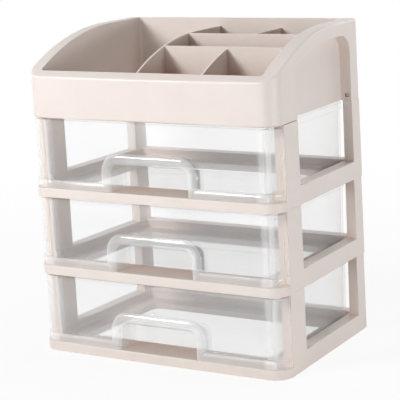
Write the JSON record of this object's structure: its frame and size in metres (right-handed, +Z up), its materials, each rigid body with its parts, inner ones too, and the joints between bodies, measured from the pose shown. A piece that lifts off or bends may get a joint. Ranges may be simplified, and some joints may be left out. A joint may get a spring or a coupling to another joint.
{
  "type": "desk drawer organizer",
  "caption": "Desktop organizer with clear sliding drawers in stacked open frames and a sloping divided tray on top.",
  "frame": {"origin": "middle of the footprint, on the surface that the organizer stands on", "axes": "+Z up, +Y from the drawers' fronts to the back, +X to the right as seen from the front"},
  "size_m": [0.2642, 0.18, 0.3],
  "materials": {
    "housing": "satin moulded plastic, pinkish cream",
    "clear_drawer": "clear, glossy moulded plastic"
  },
  "bodies": {
    "housing": {"frame_bottom": "housing", "frame_middle": "housing", "frame_top": "housing", "tray": "housing"},
    "lower_drawer": {"drawer_bottom": "clear_drawer"},
    "centre_drawer": {"drawer_middle": "clear_drawer"},
    "upper_drawer": {"drawer_top": "clear_drawer"}
  },
  "joints": [
    {"name": "lower_drawer_slide", "type": "slide", "parent": "housing", "child": "lower_drawer", "axis": [0, -1, 0], "range_m": [0, 0.13]},
    {"name": "centre_drawer_slide", "type": "slide", "parent": "housing", "child": "centre_drawer", "axis": [0, -1, 0], "range_m": [0, 0.13]},
    {"name": "upper_drawer_slide", "type": "slide", "parent": "housing", "child": "upper_drawer", "axis": [0, -1, 0], "range_m": [0, 0.13]}
  ]
}
